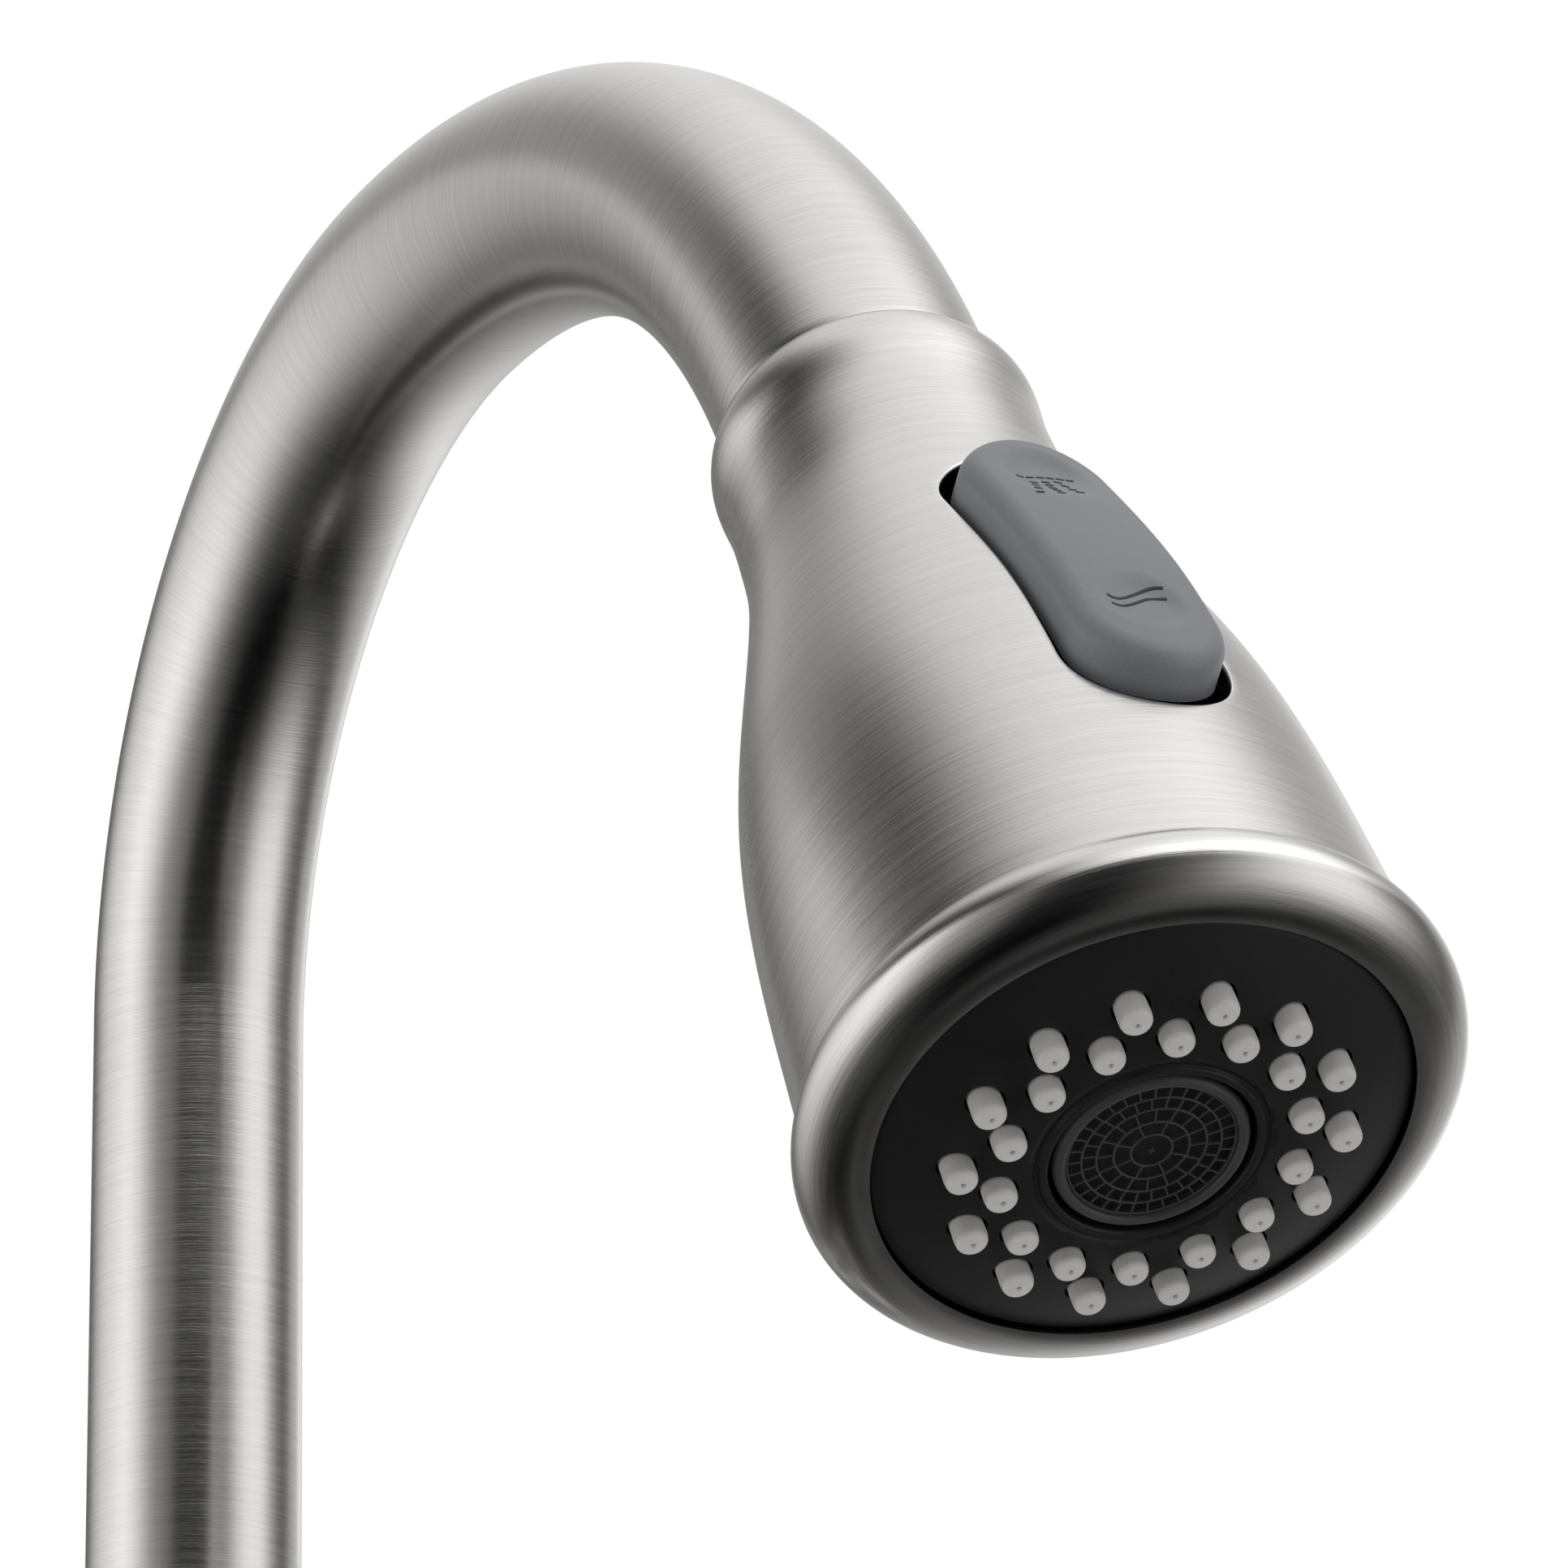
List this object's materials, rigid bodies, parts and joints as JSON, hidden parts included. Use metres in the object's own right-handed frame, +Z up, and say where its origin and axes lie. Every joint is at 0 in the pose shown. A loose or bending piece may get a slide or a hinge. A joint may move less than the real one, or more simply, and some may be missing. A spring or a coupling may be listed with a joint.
{
  "type": "pull down kitchen faucet",
  "caption": "Deck-mounted gooseneck kitchen faucet with a swivelling spout, a pull-down bell spray head with a rocker button, and a side lever.",
  "frame": {"origin": "centre of the deck hole, on the deck's top face", "axes": "+Z up out of the deck; the spout reaches toward -Y, over the sink; the lever is on the +X side"},
  "size_m": [0.0953, 0.2615, 0.4846],
  "materials": {
    "brushed_nickel": "satin, brushed round the tube and the bell",
    "brass": "as cast and turned",
    "stainless": "turned",
    "copper": "drawn tube",
    "rubber": "matte",
    "black_plastic": "fine matte",
    "white_plastic": "satin",
    "slate_plastic": "fine spark-eroded matte",
    "nozzle_silicone": "matte, slightly translucent",
    "ceramic": "lapped",
    "hose_braid": "braided nylon sleeve",
    "index_enamel": "enamel, blue and red halves"
  },
  "bodies": {
    "body": {"deck_gasket": "rubber", "deck_flange": "brushed_nickel", "body_column": "brushed_nickel", "spout_screw": "stainless", "mounting_shank": "brass", "rubber_washer": "rubber", "steel_washer": "stainless", "mounting_nut": "black_plastic", "nut_screw_1": "stainless", "nut_screw_2": "stainless", "valve_manifold": "brass", "cold_inlet": "copper", "hot_inlet": "copper", "mixed_outlet": "stainless", "cartridge_seal": "rubber", "cartridge_housing": "black_plastic", "fixed_disc": "ceramic", "retaining_nut": "brass", "valve_cap": "brushed_nickel"},
    "mixer": {"cartridge_carrier": "white_plastic", "stem_pin": "stainless"},
    "lever": {"lever_stem": "stainless", "lever_handle": "brushed_nickel", "handle_screw": "stainless", "index_button": "index_enamel"},
    "moving_disc": {"moving_disc": "ceramic"},
    "spout": {"spout_tube": "brushed_nickel", "spout_collar": "brushed_nickel", "lower_bush": "white_plastic", "upper_bush": "white_plastic", "lower_o_ring": "rubber", "upper_o_ring": "rubber", "pull_hose": "hose_braid", "hose_coupler": "stainless", "dock_sleeve": "black_plastic"},
    "hose_end": {"hose_nut": "white_plastic", "hose_ferrule": "stainless", "hose_washer": "rubber"},
    "spray_head": {"head_shell": "brushed_nickel", "waterway_core": "black_plastic", "inlet_screen": "stainless", "check_valve": "white_plastic", "check_spring": "stainless", "spray_cone": "black_plastic", "face_plate": "black_plastic", "nozzle_mat": "nozzle_silicone", "aerator_shell": "black_plastic", "aerator_screen": "black_plastic", "aerator_core": "white_plastic", "aerator_seal": "rubber", "rocker_seat": "black_plastic", "rocker_pin": "stainless"},
    "rocker": {"rocker_button": "slate_plastic"},
    "diverter": {"diverter_spool": "white_plastic"},
    "poppet": {"check_poppet": "white_plastic"}
  },
  "joints": [
    {"name": "spout_swivel", "type": "hinge", "parent": "body", "child": "spout", "pos_m": [0, 0, 0.13], "axis": [0, 0, 1], "continuous": true},
    {"name": "handle_mix", "type": "hinge", "parent": "body", "child": "mixer", "pos_m": [0.033, 0, 0.07], "axis": [1, 0, 0], "range_deg": [-45, 45]},
    {"name": "handle_flow", "type": "hinge", "parent": "mixer", "child": "lever", "pos_m": [0.033, 0, 0.07], "axis": [0, 1, 0], "range_deg": [0, 25]},
    {"name": "disc_slide", "type": "slide", "parent": "mixer", "child": "moving_disc", "axis": [0, 0, 1], "range_m": [0, 0.0034]},
    {"name": "head_pull", "type": "slide", "parent": "spout", "child": "hose_end", "axis": [0, -0.4648, -0.8854], "range_m": [0, 0.4]},
    {"name": "head_spin", "type": "hinge", "parent": "hose_end", "child": "spray_head", "pos_m": [0, -0.16547, 0.30449], "axis": [0, -0.4648, -0.8854], "continuous": true},
    {"name": "rocker_tilt", "type": "hinge", "parent": "spray_head", "child": "rocker", "pos_m": [-0.00148, -0.2039, 0.26774], "axis": [0.9962, -0.0772, 0.0405], "range_deg": [0, 7]},
    {"name": "diverter_slide", "type": "slide", "parent": "spray_head", "child": "diverter", "axis": [0, 0.4648, 0.8854], "range_m": [0, 0.0012]},
    {"name": "check_lift", "type": "slide", "parent": "spray_head", "child": "poppet", "axis": [0, -0.4648, -0.8854], "range_m": [0, 0.0015], "stiffness_N_per_m": 60, "deforming": ["check_spring"]}
  ],
  "couplings": [
    {"joint": "disc_slide", "follows": "handle_flow", "m_per_rad": 0.0075},
    {"joint": "rocker_tilt", "follows": "diverter_slide", "rad_per_m": 101.8}
  ]
}
